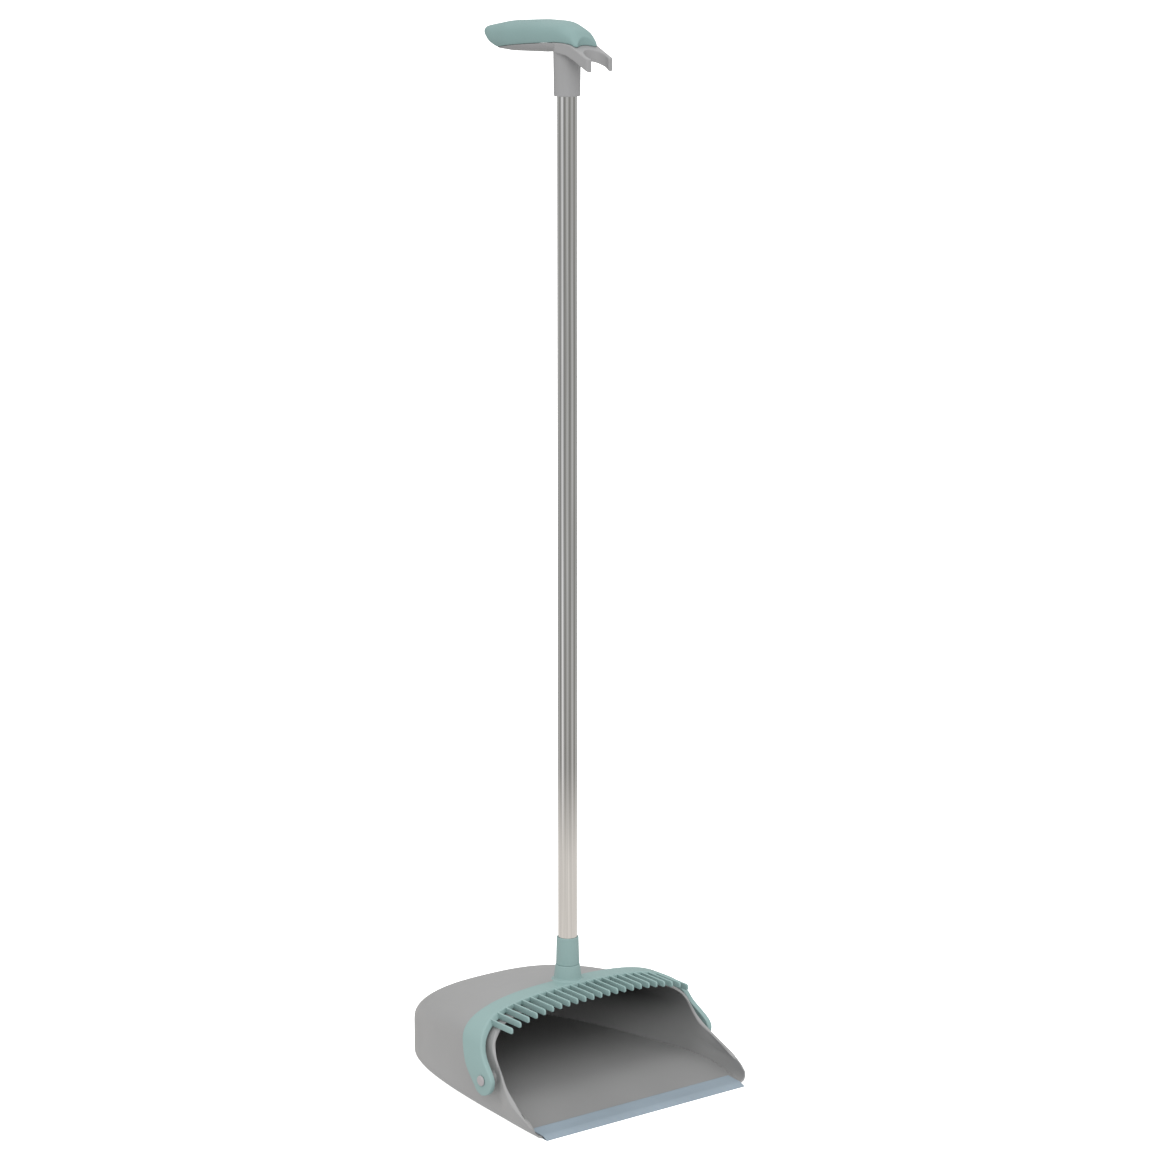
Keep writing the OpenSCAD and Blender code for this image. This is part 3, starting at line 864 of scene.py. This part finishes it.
DRUM_R, DRUM_LOW, DRUM_TOP, DRUM_SIDES = 0.87, -0.5, 1.3, 96
DRUM_TURN = 128.5           # degrees that bring the drum's angle 0 into line with the view of the tube
# six strip lights at equal angles, dark flags between them, and the one on the key light's side brighter
STRIPS, FLAG_TONE, FLAG_SWING = 6, 0.42, 0.16
KEY_STRIP, KEY_STRIP_AT, KEY_STRIP_SPREAD = 0.42, -60, 12


def flag_tone(angle):
    """Colour of the drum at an angle in degrees: a little warmer where it is dark."""
    v = FLAG_TONE + FLAG_SWING * math.cos(STRIPS * math.radians(angle))
    v += KEY_STRIP * math.exp(-((angle - KEY_STRIP_AT) / KEY_STRIP_SPREAD) ** 2)
    return (v, v * 0.995, v * (0.95 if v < 0.45 else 1.0))


def reflection_drum():
    """An open drum of studio flags round the tube, seen only in reflections: it draws the upright streaks."""
    bm = bmesh.new()
    angles = [2 * math.pi * i / DRUM_SIDES for i in range(DRUM_SIDES)]
    low, top = ([bm.verts.new((DRUM_R * math.cos(t), DRUM_R * math.sin(t) + TUBE_Y * MM, z)) for t in angles]
                for z in (DRUM_LOW, DRUM_TOP))
    for i in range(DRUM_SIDES):
        k = (i + 1) % DRUM_SIDES
        bm.faces.new((low[i], low[k], top[k], top[i]))
    drum = mesh_object("flags", bm)
    m = Nodes("flags")
    shift = m.add("ShaderNodeMapping")
    shift.inputs["Location"].default_value = (0.0, -TUBE_Y * MM, 0.0)
    m.link(m.coords, "Object", shift, "Vector")
    turn = m.add("ShaderNodeMapping")
    turn.inputs["Rotation"].default_value = (0.0, 0.0, math.radians(DRUM_TURN))
    m.link(shift, "Vector", turn, "Vector")
    around = m.add("ShaderNodeTexGradient", gradient_type="RADIAL")
    m.link(turn, "Vector", around, "Vector")
    flags = m.ramp(around, "Fac", [(0.5 + a / 360, flag_tone(a)) for a in range(-180, 181, 15)])
    drift = m.noise(3.0, 2.0, 0.5, (1.0, 1.0, 1.6))
    rise = m.add("ShaderNodeSeparateXYZ")
    m.link(m.coords, "Object", rise, "Vector")
    near_floor = m.spread(rise, "Z", 1.0, 0.0, -0.05, 0.05)
    glow = m.add("ShaderNodeEmission")
    m.link(m.spread(drift, "Fac", 0.84, 1.14), 0, glow, "Strength")
    m.tree.links.new(m.blend(near_floor, 0, flags.outputs["Color"], (0.81, 0.785, 0.755)), glow.inputs["Color"])
    m.link(glow, "Emission", m.out, "Surface")
    drum.data.materials.append(m.mat)
    drum.visible_camera = drum.visible_diffuse = drum.visible_shadow = False
    drum.visible_transmission = drum.visible_volume_scatter = False


# how bright the studio is from straight down, through the horizon, to straight up
STUDIO_TONES = [(0.0, 0.66), (0.46, 0.66), (0.54, 0.72), (1.0, 1.0)]


def studio_world():
    world = bpy.data.worlds.new("studio")
    bpy.context.scene.world = world
    world.use_nodes = True
    tree = world.node_tree
    background = tree.nodes["Background"]
    coords = tree.nodes.new("ShaderNodeTexCoord")
    height = tree.nodes.new("ShaderNodeSeparateXYZ")
    tree.links.new(coords.outputs["Generated"], height.inputs["Vector"])
    level = tree.nodes.new("ShaderNodeMapRange")
    level.inputs["From Min"].default_value = -1.0
    level.inputs["From Max"].default_value = 1.0
    tree.links.new(height.outputs["Z"], level.inputs["Value"])
    tones = tree.nodes.new("ShaderNodeValToRGB")
    elements = tones.color_ramp.elements
    while len(elements) < len(STUDIO_TONES):
        elements.new(0.5)
    for element, (position, value) in zip(elements, STUDIO_TONES):
        element.position = position
        element.color = (value, value, value, 1.0)
    tree.links.new(level.outputs["Result"], tones.inputs["Fac"])
    tree.links.new(tones.outputs["Color"], background.inputs["Color"])
    background.inputs["Strength"].default_value = 1.2


def aimed(obj, location, direction):
    """Stands a lamp or camera at location, looking along direction."""
    obj.location = location
    obj.rotation_euler = Vector(direction).to_track_quat("-Z", "Y").to_euler()
    bpy.context.scene.collection.objects.link(obj)


def softbox(name, spot, target, size, watts):
    data = bpy.data.lights.new(name, "AREA")
    data.shape, data.size, data.energy = "SQUARE", size, watts
    aimed(bpy.data.objects.new(name, data), spot, Vector(target) - Vector(spot))


FOCAL = 116.87
CAMERA_AT, CAMERA_ALONG = (-1.8739, -2.38186, 1.0486), (0.61217, 0.76458, -0.2017)

paper_floor()
reflection_drum()
studio_world()
softbox("key", (-2.4, -2.9, 2.5), (0, 0, 0.2), 2.0, 46)
camera_data = bpy.data.cameras.new("camera")
camera_data.sensor_width, camera_data.lens = 36.0, FOCAL
camera_data.clip_start, camera_data.clip_end = 0.1, 200.0
camera = bpy.data.objects.new("camera", camera_data)
aimed(camera, CAMERA_AT, CAMERA_ALONG)
bpy.context.scene.camera = camera
bpy.context.scene.view_settings.view_transform = "Standard"
